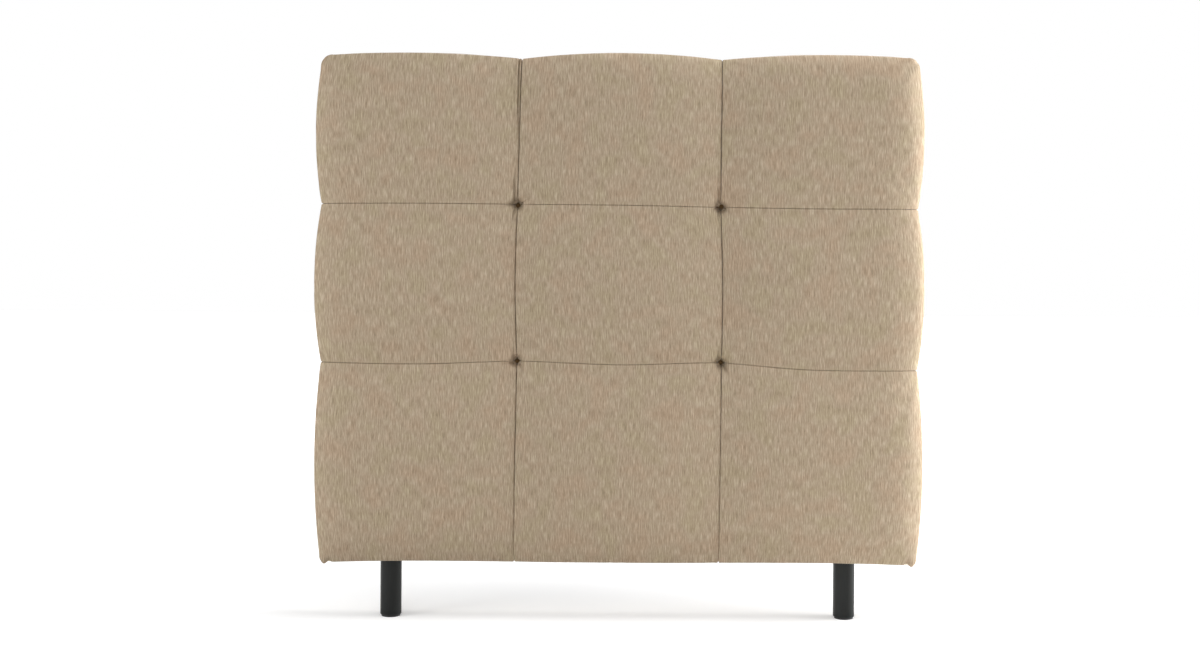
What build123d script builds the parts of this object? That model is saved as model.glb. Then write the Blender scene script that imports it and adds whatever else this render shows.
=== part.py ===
from build123d import *
import math
import os

# A freestanding upholstered headboard: a tenoned pine frame with a plywood front board, nine foam
# pads, a sewn cover of nine panels pulled in at four blind tufts, and two round wooden legs.
# Millimetres. X runs to the right as seen from the front, Y towards the back, Z up.
# The origin is on the floor under the middle of the whole object.

# The upholstered body, seen from the front
body_width = 1200.0
side_bulge = 13.0
top_bulge = 12.0
middle_column_width = 400.0
bottom_row_height = 395.0
middle_row_height = 306.0
top_row_height = 289.0
ground_clearance = 114.0

# The form of one sewn square: its outline at five levels, from the crown down to the seam's root
crown_height = 26.0
crown_reach = 90.0
seam_corner_radius = 10.0
body_corner_radius = 24.0
level_depth_shares = (0, 0.12, 0.36, 0.66, 1)
seam_inset_shares = (1, 0.45, 0.15, 0.04, 0)
free_inset_shares = (0.8, 0.24, 0.09, 0.025, 0)
corner_growth_share = 0.3
corner_flats = 4
bulge_flats = 4
corner_room_share = 0.9

# The layers, from front to back
fabric_thickness = 1.6
foam_thickness = 42.0
front_board_thickness = 8.0
frame_depth = 55.0
dust_cover_thickness = 1.0
layer_gap = 0.3
stitch_gap = 0.3

# What the cover turns in and the foam that wraps the frame's edges
seam_allowance = 10.0
hem_width = 35.0
edge_foam = 18.0
dust_cover_margin = 14.0

# The frame
stile_width = 60.0
top_rail_height = 60.0
middle_rail_height = 60.0
bracket_rail_height = 110.0
bottom_rail_height = 60.0
bracket_rail_rise = 136.0
tenon_length = 38.0
tenon_thickness = 18.0
tenon_shoulder = 10.0
tenon_clearance = 0.1

# The threaded inserts that take the legs and the bed's brackets
insert_from_side = 250.0
insert_spacing_upwards = 60.0
insert_length = 25.0
insert_barrel_diameter = 12.0
insert_bore_diameter = 8.0
insert_flange_diameter = 18.0
insert_flange_thickness = 1.2
insert_clearance = 0.1
insert_bolt_overrun = 8.0
dust_cover_hole_diameter = 22.0

# The legs
leg_from_side = 150.0
leg_setback = 16.0
leg_diameter = 42.0
leg_foot_bevel = 1.5
glide_thickness = 3.0
glide_diameter = 37.0
bolt_diameter = 8.0
bolt_in_leg = 38.0
bolt_clearance = 0.5
bolt_fit = 0.05

# The tufts
twine_diameter = 3.0
twine_clearance = 0.6
knot_clearance = 0.15
knot_length = 4.0
toggle_diameter = 26.0
toggle_thickness = 4.0
toggle_clearance = 0.1

# How far a cutting solid runs past what it cuts
overrun = 5.0

# Places from front to back
overall_depth = (
    2 * fabric_thickness
    + 3 * layer_gap
    + foam_thickness
    + front_board_thickness
    + frame_depth
    + dust_cover_thickness
)
front_y = -overall_depth / 2
foam_front_y = front_y + fabric_thickness + layer_gap
board_front_y = foam_front_y + foam_thickness
frame_front_y = board_front_y + front_board_thickness
frame_rear_y = frame_front_y + frame_depth
hem_front_y = frame_rear_y + layer_gap
hem_rear_y = hem_front_y + fabric_thickness
dust_cover_front_y = hem_rear_y + layer_gap
rear_y = dust_cover_front_y + dust_cover_thickness
seam_root_y = front_y + crown_height
seam_tail_y = seam_root_y + seam_allowance

# Places across and up: the seams, and the outline where the seams pinch it in
pinched_half_width = body_width / 2 - side_bulge
seam_x = middle_column_width / 2
lower_seam_z = ground_clearance + bottom_row_height
upper_seam_z = lower_seam_z + middle_row_height
pinched_top_z = upper_seam_z + top_row_height
column_edges = [-pinched_half_width, -seam_x, seam_x, pinched_half_width]
row_edges = [ground_clearance, lower_seam_z, upper_seam_z, pinched_top_z]
column_names = ["left", "middle", "right"]
row_names = ["bottom", "middle", "top"]

# The frame's outer rectangle
cover_and_gap = fabric_thickness + layer_gap
frame_half_width = pinched_half_width - cover_and_gap - edge_foam
frame_bottom_z = ground_clearance + cover_and_gap
frame_top_z = pinched_top_z - cover_and_gap - edge_foam
rail_half_length = frame_half_width - stile_width
bottom_rail_top_z = frame_bottom_z + bottom_rail_height
bracket_rail_bottom_z = frame_bottom_z + bracket_rail_rise
bracket_rail_middle_z = bracket_rail_bottom_z + bracket_rail_height / 2
middle_rail_bottom_z = (lower_seam_z + upper_seam_z - middle_rail_height) / 2

leg_y = board_front_y + leg_setback
leg_spacing = body_width - 2 * leg_from_side
insert_spacing_across = body_width - 2 * insert_from_side


def block(low, high):
    """A box between two corners."""
    size = [b - a for a, b in zip(low, high)]
    middle = [(a + b) / 2 for a, b in zip(low, high)]
    return Pos(*middle) * Box(*size)


def turned(points, place, direction):
    """A solid turned from (radius, distance along the direction) points, standing at a place."""
    profile = make_face(Polyline(*[(r, 0, along) for r, along in points], close=True))
    solid = revolve(profile, Axis.Z)
    return Plane(origin=place, z_dir=direction) * solid


def rod(radius, length, place, direction):
    """A plain round rod that starts at a place and runs along a direction."""
    return Plane(origin=place, z_dir=direction) * extrude(Circle(radius), length)


def outline(column, row, level, inset, y, hidden):
    """One square's outline at one level of its crown, as a face across the Y axis.
    Sides along seams are straight, and free sides bulge in an arc. Each corner follows a quarter
    circle in flats. A hidden outline bulges in flats too, and its corners are plain bevels."""
    slope = crown_reach * seam_inset_shares[level]
    seam_inset = inset + stitch_gap / 2 + slope
    free_inset = inset + crown_reach * free_inset_shares[level]
    left_free, right_free = column == 0, column == 2
    bottom_free, top_free = row == 0, row == 2
    left = column_edges[column] + (free_inset if left_free else seam_inset)
    right = column_edges[column + 1] - (free_inset if right_free else seam_inset)
    bottom = row_edges[row] + (free_inset if bottom_free else seam_inset)
    top = row_edges[row + 1] - (free_inset if top_free else seam_inset)
    most_radius = corner_room_share * min(right - left, top - bottom) / 2

    # Counterclockwise from the lower left, each with its way inwards and whether two free sides meet
    corners = [
        (left, bottom, 1, 1, left_free and bottom_free),
        (right, bottom, -1, 1, right_free and bottom_free),
        (right, top, -1, -1, right_free and top_free),
        (left, top, 1, -1, left_free and top_free),
    ]
    # How far each side bulges, from the bottom side on
    bulges = [
        (0, 0),
        (side_bulge if right_free else 0, 0),
        (0, top_bulge if top_free else 0),
        (-side_bulge if left_free else 0, 0),
    ]
    flats = 1 if hidden else corner_flats
    bends = []
    for turn, (x, z, inwards_x, inwards_z, at_body_corner) in enumerate(corners):
        base = body_corner_radius if at_body_corner else seam_corner_radius
        radius = min(base + corner_growth_share * slope, most_radius)
        bend = []
        for step in range(flats + 1):
            angle = math.pi / 2 * step / flats
            across, upwards = 1 - math.cos(angle), 1 - math.sin(angle)
            bend.append((x + inwards_x * radius * across, y, z + inwards_z * radius * upwards))
        bends.append(bend if turn % 2 == 0 else bend[::-1])

    edges = []
    for turn, bend in enumerate(bends):
        edges += [Line(start, end) for start, end in zip(bend, bend[1:])]
        end, next_start = Vector(bend[-1]), Vector(bends[(turn + 1) % len(bends)][0])
        bulge = Vector(bulges[turn][0], 0, bulges[turn][1])
        if bulge.length == 0:
            edges.append(Line(end, next_start))
        elif hidden:
            steps = [step / bulge_flats for step in range(bulge_flats + 1)]
            points = [end + (next_start - end) * t + bulge * 4 * t * (1 - t) for t in steps]
            edges += [Line(start, stop) for start, stop in zip(points, points[1:])]
        else:
            edges.append(ThreePointArc(end, (end + next_start) / 2 + bulge, next_start))
    return make_face(edges)


def panel_form(column, row, inset, back, hidden=True):
    """The space one square of the cover fills, moved in by the inset and cut off at the back."""
    levels = range(len(level_depth_shares))
    sections = [
        outline(
            column, row, level, inset, front_y + inset + crown_height * level_depth_shares[level],
            hidden,
        )
        for level in levels
    ]
    sections.append(outline(column, row, levels[-1], inset, back, hidden))
    form = loft(sections, ruled=True)
    flat_faces = [Face(face.outer_wire()) if face.is_planar else face for face in form.faces()]
    return Solid(Shell(flat_faces))


def leg_places():
    """The two leg axes, at the level of the body's underside."""
    return [(side * leg_spacing / 2, leg_y, ground_clearance) for side in (-1, 1)]


def tuft_places():
    """The four seam crossings, on the front board's face."""
    return [(x, board_front_y, z) for z in (lower_seam_z, upper_seam_z) for x in (-seam_x, seam_x)]


def insert_places():
    """The four threaded inserts, on the bracket rail's rear face."""
    return [
        (
            across * insert_spacing_across / 2,
            frame_rear_y,
            bracket_rail_middle_z + up * insert_spacing_upwards / 2,
        )
        for up in (-1, 1)
        for across in (-1, 1)
    ]


def rail_levels():
    """Each rail's name with its lowest and highest level."""
    return {
        "bottom_rail": (frame_bottom_z, bottom_rail_top_z),
        "bracket_rail": (bracket_rail_bottom_z, bracket_rail_bottom_z + bracket_rail_height),
        "middle_rail": (middle_rail_bottom_z, middle_rail_bottom_z + middle_rail_height),
        "top_rail": (frame_top_z - top_rail_height, frame_top_z),
    }


def frame_space():
    """The space of the board and frame, with the gap that soft layers leave."""
    return block(
        (-frame_half_width - layer_gap, board_front_y, frame_bottom_z - layer_gap),
        (frame_half_width + layer_gap, hem_front_y, frame_top_z + layer_gap),
    )


def cover_panel(column, row):
    """One sewn square of fabric with its seam allowances and, at the edges, its side and hem."""
    outer = panel_form(column, row, 0, hem_rear_y, hidden=False)
    inner = panel_form(column, row, fabric_thickness, hem_front_y)
    inside_frame = block(
        (-frame_half_width - layer_gap, seam_tail_y, frame_bottom_z - layer_gap),
        (frame_half_width + layer_gap, hem_front_y, frame_top_z + layer_gap),
    )
    inside_hem = block(
        (hem_width - pinched_half_width, seam_tail_y, ground_clearance + hem_width),
        (pinched_half_width - hem_width, rear_y + overrun, pinched_top_z - hem_width),
    )
    panel = outer - inner - inside_frame - inside_hem
    for place in leg_places():
        panel -= rod(bolt_diameter / 2 + bolt_clearance, 2 * cover_and_gap, place, (0, 0, 1))
    return panel


def foam_pad(column, row):
    """One foam pad on the front board, pulled round the frame's edge where the square is at one."""
    return panel_form(column, row, cover_and_gap, frame_rear_y) - frame_space()


def front_board():
    board = block(
        (-frame_half_width, board_front_y, frame_bottom_z),
        (frame_half_width, frame_front_y, frame_top_z),
    )
    for place in tuft_places():
        board -= rod(twine_diameter / 2 + twine_clearance, front_board_thickness, place, (0, 1, 0))
    return board


def tenon(side, low, high, growth):
    """The tongue at one end of a rail, or with a growth the mortise that takes it."""
    middle_y = (frame_front_y + frame_rear_y) / 2
    half_thickness = tenon_thickness / 2 + growth
    inner, outer = sorted((side * rail_half_length, side * (rail_half_length + tenon_length + growth)))
    return block(
        (inner, middle_y - half_thickness, low + tenon_shoulder - growth),
        (outer, middle_y + half_thickness, high - tenon_shoulder + growth),
    )


def stile(side):
    """A full-height upright of the frame, with a mortise for each rail."""
    inner, outer = sorted((side * rail_half_length, side * frame_half_width))
    upright = block((inner, frame_front_y, frame_bottom_z), (outer, frame_rear_y, frame_top_z))
    for low, high in rail_levels().values():
        upright -= tenon(side, low, high, tenon_clearance)
    return upright


def insert_hole(place, direction):
    """The blind hole that an insert is driven into, with room for the bolt's end."""
    radius = insert_barrel_diameter / 2 + insert_clearance
    return rod(radius, insert_length + insert_bolt_overrun, place, direction)


def rail(name):
    """A rail with a tenon at each end, bored for the inserts it carries."""
    low, high = rail_levels()[name]
    beam = block(
        (-rail_half_length, frame_front_y, low), (rail_half_length, frame_rear_y, high)
    )
    for side in (-1, 1):
        beam += tenon(side, low, high, 0)
    if name == "bottom_rail":
        for x, y, _ in leg_places():
            beam -= insert_hole((x, y, low), (0, 0, 1))
    if name == "bracket_rail":
        for place in insert_places():
            beam -= insert_hole(place, (0, -1, 0))
    return beam


def dust_cover():
    """The thin non-woven sheet over the back, which hides the hem and is pierced at the inserts."""
    sheet = block(
        (
            dust_cover_margin - pinched_half_width,
            dust_cover_front_y,
            ground_clearance + dust_cover_margin,
        ),
        (pinched_half_width - dust_cover_margin, rear_y, pinched_top_z - dust_cover_margin),
    )
    for x, _, z in insert_places():
        sheet -= rod(
            dust_cover_hole_diameter / 2, dust_cover_thickness, (x, rear_y, z), (0, -1, 0)
        )
    return sheet


def bracket_inserts():
    """Four flanged sleeves with a threaded bore, driven in from the back."""
    bore, barrel = insert_bore_diameter / 2, insert_barrel_diameter / 2
    profile = [
        (bore, -insert_length),
        (barrel, -insert_length),
        (barrel, 0),
        (insert_flange_diameter / 2, 0),
        (insert_flange_diameter / 2, insert_flange_thickness),
        (bore, insert_flange_thickness),
    ]
    return Compound(children=[turned(profile, place, (0, 1, 0)) for place in insert_places()])


def leg_inserts():
    """Two plain sleeves with a threaded bore, driven up into the bottom rail."""
    bore, barrel = insert_bore_diameter / 2, insert_barrel_diameter / 2
    profile = [(bore, 0), (barrel, 0), (barrel, insert_length), (bore, insert_length)]
    return Compound(
        children=[turned(profile, (x, y, frame_bottom_z), (0, 0, 1)) for x, y, _ in leg_places()]
    )


def leg(place):
    """A turned leg with a bevelled foot, bored at the top for its bolt."""
    radius = leg_diameter / 2
    length = ground_clearance - glide_thickness
    bolt_hole = bolt_diameter / 2 + bolt_fit
    bolt_depth = bolt_in_leg + bolt_clearance
    profile = [
        (0, 0),
        (radius - leg_foot_bevel, 0),
        (radius, leg_foot_bevel),
        (radius, length),
        (bolt_hole, length),
        (bolt_hole, length - bolt_depth),
        (0, length - bolt_depth),
    ]
    return turned(profile, (place[0], place[1], glide_thickness), (0, 0, 1))


def leg_glides():
    """The pads stuck under the feet."""
    return Compound(
        children=[
            rod(glide_diameter / 2, glide_thickness, (x, y, 0), (0, 0, 1))
            for x, y, _ in leg_places()
        ]
    )


def leg_bolts():
    """The headless bolts that stand in the legs and are screwed into the bottom rail's inserts."""
    start_z = ground_clearance - bolt_in_leg
    length = frame_bottom_z + insert_length - start_z
    radius = bolt_diameter / 2 - bolt_fit
    return Compound(
        children=[rod(radius, length, (x, y, start_z), (0, 0, 1)) for x, y, _ in leg_places()]
    )


def tuft_twines():
    """The twines that pull the seam crossings down, each with a knot in its pit."""
    shaft = twine_diameter / 2
    # The pit between four rounded corners takes a circle of (root 2 - 1) of their radius.
    knot = (math.sqrt(2) - 1) * seam_corner_radius + stitch_gap / math.sqrt(2) - knot_clearance
    knot_back = seam_root_y - board_front_y + seam_allowance / 2
    tail = front_board_thickness + toggle_thickness
    profile = [
        (0, knot_back - knot_length),
        (knot, knot_back - knot_length),
        (knot, knot_back),
        (shaft, knot_back),
        (shaft, tail),
        (0, tail),
    ]
    return Compound(children=[turned(profile, place, (0, 1, 0)) for place in tuft_places()])


def tuft_toggles():
    """The washers behind the front board that the twines are tied off on."""
    bore = twine_diameter / 2 + toggle_clearance
    outer = toggle_diameter / 2
    profile = [(bore, 0), (outer, 0), (outer, toggle_thickness), (bore, toggle_thickness)]
    return Compound(
        children=[turned(profile, (x, frame_front_y, z), (0, 1, 0)) for x, _, z in tuft_places()]
    )


def all_parts():
    """Every sub-part by its name."""
    parts = {}
    for row, row_name in enumerate(row_names):
        for column, column_name in enumerate(column_names):
            parts[f"cover_{row_name}_{column_name}"] = cover_panel(column, row)
            parts[f"foam_{row_name}_{column_name}"] = foam_pad(column, row)
    parts["front_board"] = front_board()
    parts["left_stile"] = stile(-1)
    parts["right_stile"] = stile(1)
    for name in rail_levels():
        parts[name] = rail(name)
    parts["dust_cover"] = dust_cover()
    parts["bracket_inserts"] = bracket_inserts()
    parts["leg_inserts"] = leg_inserts()
    for side_name, place in zip(("left", "right"), leg_places()):
        parts[f"leg_{side_name}"] = leg(place)
    parts["leg_glides"] = leg_glides()
    parts["leg_bolts"] = leg_bolts()
    parts["tuft_twines"] = tuft_twines()
    parts["tuft_toggles"] = tuft_toggles()
    return parts


os.makedirs("parts", exist_ok=True)
for part_name, part_shape in all_parts().items():
    export_step(part_shape, f"parts/{part_name}.step")
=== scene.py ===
import math
import random

import bmesh
import bpy
import numpy as np
from mathutils import Matrix, Vector, noise


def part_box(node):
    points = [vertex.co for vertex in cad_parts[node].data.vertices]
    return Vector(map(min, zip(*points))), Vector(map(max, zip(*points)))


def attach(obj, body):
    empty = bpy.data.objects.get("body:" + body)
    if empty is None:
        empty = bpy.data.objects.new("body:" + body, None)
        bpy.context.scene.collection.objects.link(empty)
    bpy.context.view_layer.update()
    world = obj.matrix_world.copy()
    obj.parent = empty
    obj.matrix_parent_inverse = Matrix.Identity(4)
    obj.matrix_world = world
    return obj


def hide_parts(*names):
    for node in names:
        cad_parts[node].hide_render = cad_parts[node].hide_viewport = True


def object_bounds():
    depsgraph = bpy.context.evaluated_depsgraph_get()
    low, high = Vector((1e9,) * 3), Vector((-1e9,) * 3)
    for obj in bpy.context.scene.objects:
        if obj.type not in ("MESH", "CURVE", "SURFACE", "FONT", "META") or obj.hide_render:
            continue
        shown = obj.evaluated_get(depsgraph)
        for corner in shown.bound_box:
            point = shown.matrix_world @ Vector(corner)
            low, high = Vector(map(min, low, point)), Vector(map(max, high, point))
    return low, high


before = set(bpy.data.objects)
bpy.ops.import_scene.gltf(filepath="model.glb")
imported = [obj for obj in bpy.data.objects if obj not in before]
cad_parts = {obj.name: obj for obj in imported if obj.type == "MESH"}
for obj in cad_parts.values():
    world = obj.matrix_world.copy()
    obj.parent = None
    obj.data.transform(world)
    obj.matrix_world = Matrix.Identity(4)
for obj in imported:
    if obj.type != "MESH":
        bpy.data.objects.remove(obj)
cad_low, cad_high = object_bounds()

bl_info = {
    "name": "Tufted headboard",
    "version": (1, 0, 0),
    "blender": (4, 5, 0),
    "location": "3D View > Sidebar > Headboard",
    "description": "Builds the sewn cover, the foam, the back and the finishes of a headboard",
    "category": "Object",
}

MM = 0.001
COLUMNS = ("left", "middle", "right")
ROWS = ("bottom", "middle", "top")
# Points closer than this lie on the same line
TOUCH = 1e-6
# Stands for the distance to a free edge where a square has none
NO_FREE_EDGE = 1.0

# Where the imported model's own parts put the seams, edges and layers
HALF_GAP = 0.15 * MM
SIDE_PINCH = 13 * MM
TOP_PINCH = 12 * MM
middle_low, middle_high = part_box("cover_middle_middle")
seam_x = middle_high.x + HALF_GAP
lower_seam_z = middle_low.z - HALF_GAP
upper_seam_z = middle_high.z + HALF_GAP
half_width = cad_high.x - SIDE_PINCH
top_z = cad_high.z - TOP_PINCH
bottom_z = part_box("cover_bottom_middle")[0].z
dust_low, dust_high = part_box("dust_cover")
hem_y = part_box("cover_middle_left")[1].y
board_low, board_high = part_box("front_board")
frame_rear_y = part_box("left_stile")[1].y
tuft_centres = [(x, z) for z in (lower_seam_z, upper_seam_z) for x in (-seam_x, seam_x)]

# How the seams wander off the straight grid, as sewn by hand: (place along the seam, offset), in mm
LEFT_SEAM_WANDER = ((114, -3.5), (300, -2.5), (509, 0), (662, -3.7), (815, 0), (950, 3.2), (1104, 6.3))
RIGHT_SEAM_WANDER = ((114, -2.2), (509, 1.4), (662, 2.6), (815, -1.4), (1104, 0))
UPPER_SEAM_WANDER = (
    (-587, 1.4), (-392, 2.6), (-200, 1.8), (0, 1.0), (200, -1.8), (356, -3.7), (587, -3.5)
)
LOWER_SEAM_WANDER = (
    (-587, -3.5), (-387, -5.3), (-200, 0.8), (0, -4.9), (200, -0.8), (356, -12.0), (587, -14.0)
)

# Creases in the cover: points (x, z) in mm, depth at each end, half width, and the side with a lip
CREASES = (
    # The pleat beside the left seam, from the top edge down
    (((-199.6, 1116), (-200.4, 1060), (-201.2, 1000), (-199.0, 945)), 9.0, 3.0, 1.3, 1),
    # The tucks at the upper left tuft
    (((-205, 884), (-207, 856), (-207, 826)), 1.5, 9.0, 2.6, 0),
    (((-193, 819), (-184, 825), (-172, 827)), 5.5, 1.0, 1.3, 1),
    (((-234, 812), (-222, 815), (-210, 818)), 0.6, 7.0, 3.4, 0),
    (((-212, 780), (-209, 794), (-206, 804)), 1.0, 6.0, 2.4, 0),
    # The upper right tuft
    (((193, 866), (193, 842), (194, 824)), 1.0, 8.0, 2.6, 0),
    (((172, 804), (183, 809), (192, 813)), 0.6, 5.0, 3.0, 0),
    (((193, 782), (193, 796), (195, 808)), 1.0, 6.5, 2.4, 0),
    (((207, 811), (214, 804), (224, 796)), 4.0, 0.5, 2.0, 0),
    # The lower left tuft
    (((-193, 503), (-188, 494), (-183, 480)), 5.0, 0.8, 3.0, 0),
    (((-206, 538), (-205, 526), (-205, 516)), 1.0, 6.5, 2.4, 0),
    (((-232, 504), (-220, 505), (-208, 506)), 0.6, 5.0, 2.4, 0),
    # The lower right tuft
    (((194, 538), (194, 526), (195, 516)), 1.0, 6.5, 2.4, 0),
    (((172, 514), (183, 512), (192, 511)), 0.6, 5.0, 2.4, 0),
    (((206, 504), (211, 495), (216, 482)), 6.0, 0.8, 2.2, 0),
    # The tucked-in corners of the body
    (((584, 1101), (575, 1097), (562, 1094)), 4.5, 0.5, 3.0, 0),
    (((-588, 1104), (-579, 1098), (-568, 1094)), 2.5, 0.3, 2.6, 0),
)
# A lip stands up beside its crease: its height as a share of the depth, and its place in half widths
LIP_SHARE = 0.3
LIP_PLACE = 2.2

# The grid of a square of the cover: close lines at its edges, wider ones towards its middle
FIRST_STEP = 0.4 * MM
STEP_GROWTH = 1.13
WIDEST_STEP = 8.5 * MM
ROLL_STEPS = 20
WALL_STEPS = 12
REAR_STEPS = 4
HEM_STEPS = 5
REAR_RADIUS = 5 * MM

# How round a square's corners are: at a tuft, where a seam ends, and at the body's corners
TUFT_CORNER = 9.5 * MM
SEAM_END_CORNER = 3 * MM
TOP_CORNER = 19 * MM
BOTTOM_CORNER = 13 * MM

# How the fabric turns in at the left, right, bottom and top edge of a square: the turn's width and
# share, how much lower the edge lies, and how far that spreads. Each right one lies over the left
SEAM_TURNS = (
    (1.3 * MM, 1.0, -1.1 * MM, 7 * MM),
    (2.4 * MM, 1.0, 0.9 * MM, 8 * MM),
    (1.4 * MM, 0.6, 0.2 * MM, 6 * MM),
    (1.2 * MM, 0.6, -0.4 * MM, 6 * MM),
)
# Grooves get calmer around a tuft, by a share over a width, and below a height, by a share over
# the way down to there: everywhere, and on the right side
TUFT_CALM = (0.5, 13 * MM)
LOW_CALM = (0.75, 330 * MM, 180 * MM)
LOW_RIGHT_CALM = (0.4, 480 * MM, 60 * MM)

# The valley in the foam along the upright seams, which is shallower in the right one's bottom row
LEFT_VALLEY = 1.2 * MM
RIGHT_VALLEY = 3.4 * MM
LOW_RIGHT_VALLEY = 1.8 * MM
VALLEY_SPREAD = 28 * MM

# The share of its crown that one seam loses to another at a corner
CROWN_OVERLAP_SHARE = 0.9

# The form of a tuft: a wide dip with a steep pit in it, a little less deep in the lower ones
DIP_RADIUS = 28 * MM
DIP_POWER = 1.3
PIT_RADIUS = 11.5 * MM
PIT_POWER = 2.6
LOWER_PULL_SHARE = 0.82
DEEPEST = 33 * MM

# Free sides: how far in a bulge shows, how high the top stays towards a corner of the body, the
# groove that a seam draws round the edge, and the hanging lower corners
BULGE_REACH = 170 * MM
CORNER_RISE_SHARE = 0.146
SIDE_GROOVE = 1.2 * MM
SIDE_GROOVE_WIDTH = 2 * MM
HANG = 5 * MM
HANG_REACH = 230 * MM

# The hem: where its mitre starts, and over how much of it the cover settles on the back
MITRE = 60 * MM
HEM_SETTLE = 16 * MM

# The folded tips under the lower corners, with a pocket beside each: place, width and size
TIP_HEIGHT = 22 * MM
TIP_INSET = 9 * MM
TIP_WIDTH = 6 * MM
TIP_DROP = 2.6 * MM
POCKET_INSET = 19 * MM
POCKET_WIDTH = 3.6 * MM
POCKET_DEPTH = 10 * MM
POCKET_RISE = 2.2 * MM

# The cloth simulation: frames, pressure, furthest move, and how far from a seam the cloth is held
SWELL_FRAMES = 14
SWELL_PRESSURE = 4
SWELL_QUALITY = 4
SWELL_CAP = 3.5 * MM
HELD_FIRM = 4 * MM
HELD_FADE = 14 * MM

# Uneven foam: lumps of an eighth of a metre, how high they are, and how far apart the rows of
# squares read the noise, so that each square has lumps of its own
LUMPS_PER_METRE = 8
LUMP_HEIGHT = 0.7 * MM
LUMP_ROW_STEP = 3.7

# The foam's distance to the cover, and the room it leaves under creases, tufts and lower corners
FOAM_GAP = 0.5 * MM
CREASE_ROOM_MM = 9.0
TUFT_ROOM = 7 * MM
TUFT_ROOM_WIDTH = 48 * MM
CORNER_ROOM = 11 * MM
CORNER_ROOM_WIDTH = 60 * MM
LEAST_FOAM = 8 * MM
FOAM_TURN = 20 * MM
BOARD_GAP = 0.1 * MM
BOARD_EDGE_GAP = 0.3 * MM

# Stitches: a bar of thread, its slant, and how far from the edges and tufts they stop
THREAD_RADIUS = 0.28 * MM
STITCH_LENGTH = 2.3 * MM
STITCH_RAISE = 3.4 * MM
STITCH_SLANT = 9
STITCH_EDGE_CLEARANCE = 24 * MM
STITCH_TUFT_CLEARANCE = 11 * MM

# The dust cover: the bed's bolt holes, its grid around them, its thickness, and how it lies
HOLE_RADIUS = 11 * MM
HOLE_PLACES = [(x * MM, z * MM) for x in (-350, 350) for z in (276.9, 336.9)]
HOLE_RING = 18 * MM
HOLE_LINES = [step * MM for step in (-16, -11, -5.5, 0, 5.5, 11, 16)]
DUST_STEP = 15 * MM
DUST_THICKNESS = 0.4 * MM
DUST_REST = 0.45 * MM
DUST_RIPPLE = 0.3 * MM
DUST_RIPPLE_REACH = 22 * MM
DUST_SLACK = 0.9 * MM
DUST_SLACK_REACH = 60 * MM
DUST_SLACKS_PER_METRE = 5
DUST_SLICE = 2.3

# The staples: their distance, the crown's length, height and wire, and how unevenly they are set
STAPLE_PITCH = 48 * MM
STAPLE_INSET = 7 * MM
STAPLE_CROWN = (10 * MM, 0.6 * MM, 1.2 * MM)
STAPLE_BEVEL = 0.2 * MM
STAPLE_RAISE = 0.35 * MM
STAPLE_SHIFT_MM = 4
STAPLE_OFF_MM = 1.5
STAPLE_TURN = 14

# The stage. The picture shows this many metres across at the cover's front
PICTURE_WIDTH_M = 2.340
SENSOR_WIDTH_MM = 36.0
CAMERA_DISTANCE = 3.0
CAMERA_HEIGHT = 0.73
CAMERA_ROLL = 0.35
CAMERA_SIGHT = 60
PICTURE_CENTRE_X = -0.0385
PICTURE_CENTRE_Z = 0.5725
FLOOR_HALF_SIZE = 14
FLOOR_FADE = {"From Min": 0.6, "From Max": 3.2, "To Min": 0.22, "To Max": 1}
WORLD_LIGHT = 0.435
# Softboxes: name, watts, width, height, place, and the point it looks at
LAMPS = (
    ("front_softbox", 16, 2.4, 1.8, (-0.6, -3.4, 1.3), (0, 0, 0.5)),
    ("right_softbox", 54, 1.0, 1.8, (1.75, 0.03, 0.8), (0.5, 0, 0.6)),
    ("left_reflector", 15, 1.0, 1.8, (-1.9, -0.7, 0.8), (-0.5, 0, 0.6)),
    ("top_softbox", 20, 1.8, 0.8, (0.6, -0.15, 2.4), (0.1, 0, 1.0)),
)


def linear(code):
    """An sRGB hex value as linear red, green and blue."""
    channels = [int(code[start:start + 2], 16) / 255 for start in (0, 2, 4)]
    return tuple(c / 12.92 if c <= 0.04045 else ((c + 0.055) / 1.055) ** 2.4 for c in channels)


def shade(tone, share):
    """A colour made darker or lighter."""
    return tuple(c * share for c in tone)


def length(name, description, default):
    """A size in metres that the panel shows."""
    return bpy.props.FloatProperty(
        name=name, description=description, default=default, unit="LENGTH", precision=4
    )


def colour(name, description, code):
    """A colour that the panel shows, from its sRGB hex value."""
    return bpy.props.FloatVectorProperty(
        name=name, description=description, default=linear(code), subtype="COLOR", min=0, max=1
    )


class HeadboardSizes(bpy.types.PropertyGroup):
    side_bulge: length("Side bulge", "How far a free side swells out between two seams", 13 * MM)
    top_bulge: length("Top bulge", "How far the top swells up between two seams", 12 * MM)
    proud: length("Proud", "How far the foam swells in front of the flat pad", 4 * MM)
    crown: length("Crown", "How much lower a seam lies than the middle of its squares", 9 * MM)
    crown_reach: length("Crown reach", "How far from a seam the crown rises", 190 * MM)
    roll_width: length("Edge roll width", "How far in from a free edge the rounding starts", 72 * MM)
    roll_depth: length("Edge roll depth", "How deep the rounding of a free edge is", 25 * MM)
    fabric: length("Fabric thickness", "Thickness of the cover", 1.6 * MM)
    groove: length("Seam groove", "How deep the fabric turns in at a seam", 7 * MM)
    allowance: length("Seam allowance", "How much fabric runs on behind a seam", 12 * MM)
    hem: length("Hem", "How far the cover is turned over the back", 35 * MM)
    tuft_dip: length("Tuft dip", "How far a tuft draws in the foam around it", 6 * MM)
    tuft_pit: length("Tuft pit", "How much deeper the pit at the tuft itself is", 19 * MM)
    stitch_pitch: length("Stitch pitch", "Distance between two stitches of a seam", 3.5 * MM)


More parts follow.
